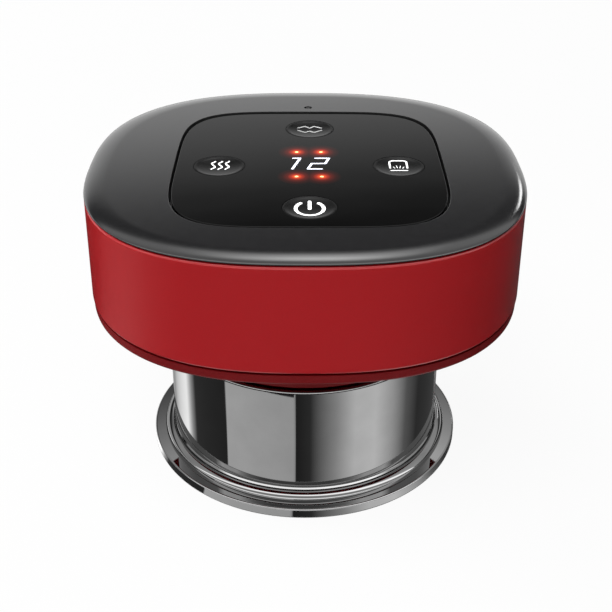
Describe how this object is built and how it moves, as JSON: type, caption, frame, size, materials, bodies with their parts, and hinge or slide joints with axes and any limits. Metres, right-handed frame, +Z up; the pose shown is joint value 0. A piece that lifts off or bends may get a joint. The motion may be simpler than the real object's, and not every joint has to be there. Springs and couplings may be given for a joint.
{
  "type": "electric cupping massager",
  "caption": "Handheld electric cupping massager: rounded-square red battery head with a gloss key panel and display, on a removable round black-chrome suction cup.",
  "frame": {"origin": "middle of the cup's flat rim, on the surface it stands on", "axes": "+Z up out of the key panel, -Y towards the power key, +X to the right when the keys are read"},
  "size_m": [0.0808, 0.0808, 0.0592],
  "materials": {
    "red_paint": "satin pearl red spray paint on a moulded ABS wall, with a clear coat",
    "dark_red_abs": "dark red moulded ABS, fine satin",
    "dark_grey_satin": "satin metallic dark grey paint on a moulded ring",
    "black_gloss": "gloss black smoked acrylic panel",
    "key_gloss": "gloss black dished key caps",
    "black_chrome": "smoked black-chrome plating on moulded ABS, mirror bright",
    "black_rubber": "moulded black silicone rubber",
    "circuit_green": "green solder mask on glass-epoxy board",
    "black_plastic": "moulded black plastic, fine texture",
    "white_plastic": "moulded white plastic, satin",
    "clear_plastic": "clear moulded acrylic, polished",
    "red_light": "red light-emitting part, epoxy",
    "steel": "nickel-plated steel",
    "battery_wrap": "heat-shrink film round a lithium cell",
    "silicone": "translucent silicone rubber",
    "filter_felt": "pressed white felt"
  },
  "bodies": {
    "cup": {"suction_cup": "black_chrome"},
    "head": {"body_shell": "red_paint", "base_cover": "dark_red_abs", "top_bezel": "dark_grey_satin", "touch_panel": "black_gloss", "seal_ring": "black_rubber", "motor_sleeve": "black_rubber", "pump_diaphragm": "black_rubber", "main_board": "circuit_green", "lamp_board": "circuit_green", "controller_chip": "black_plastic", "buzzer": "black_plastic", "light_mask": "black_plastic", "pump_head": "black_plastic", "release_valve": "black_plastic", "filter_cap": "black_plastic", "display_module": "white_plastic", "pump_cap": "white_plastic", "charge_light_pipe": "clear_plastic", "lamp_lens": "clear_plastic", "indicator_led_1": "red_light", "indicator_led_2": "red_light", "indicator_led_3": "red_light", "indicator_led_4": "red_light", "warm_lamp_1": "red_light", "warm_lamp_2": "red_light", "warm_lamp_3": "red_light", "warm_lamp_4": "red_light", "warm_lamp_5": "red_light", "warm_lamp_6": "red_light", "base_screw_1": "steel", "base_screw_2": "steel", "base_screw_3": "steel", "base_screw_4": "steel", "board_screw_1": "steel", "board_screw_2": "steel", "tact_switch_1": "steel", "tact_switch_2": "steel", "tact_switch_3": "steel", "tact_switch_4": "steel", "usb_socket": "steel", "pump_motor": "steel", "valve_spring": "steel", "battery": "battery_wrap", "inlet_collar": "silicone", "release_hose": "silicone", "filter_disc": "filter_felt"},
    "mode_key": {"mode_key": "key_gloss"},
    "heat_key": {"heat_key": "key_gloss"},
    "suction_key": {"suction_key": "key_gloss"},
    "power_key": {"power_key": "key_gloss"},
    "pump_shaft": {"motor_shaft": "steel"},
    "valve_plunger": {"valve_plunger": "steel"}
  },
  "joints": [
    {"name": "cup_release", "type": "slide", "parent": "cup", "child": "head", "axis": [0, 0, 1], "range_m": [0, 0.04]},
    {"name": "mode_press", "type": "slide", "parent": "head", "child": "mode_key", "axis": [0, 0, -1], "range_m": [0, 0.0004], "stiffness_N_per_m": 300, "springref_m": -0.002},
    {"name": "heat_press", "type": "slide", "parent": "head", "child": "heat_key", "axis": [0, 0, -1], "range_m": [0, 0.0004], "stiffness_N_per_m": 300, "springref_m": -0.002},
    {"name": "suction_press", "type": "slide", "parent": "head", "child": "suction_key", "axis": [0, 0, -1], "range_m": [0, 0.0004], "stiffness_N_per_m": 300, "springref_m": -0.002},
    {"name": "power_press", "type": "slide", "parent": "head", "child": "power_key", "axis": [0, 0, -1], "range_m": [0, 0.0004], "stiffness_N_per_m": 300, "springref_m": -0.002},
    {"name": "pump_turn", "type": "hinge", "parent": "head", "child": "pump_shaft", "pos_m": [-0.0035, -0.002, 0.0397], "axis": [1, 0, 0], "continuous": true},
    {"name": "valve_pull", "type": "slide", "parent": "head", "child": "valve_plunger", "axis": [0, 0, -1], "range_m": [0, 0.0012], "stiffness_N_per_m": 150, "springref_m": -0.002, "deforming": ["valve_spring"]}
  ]
}
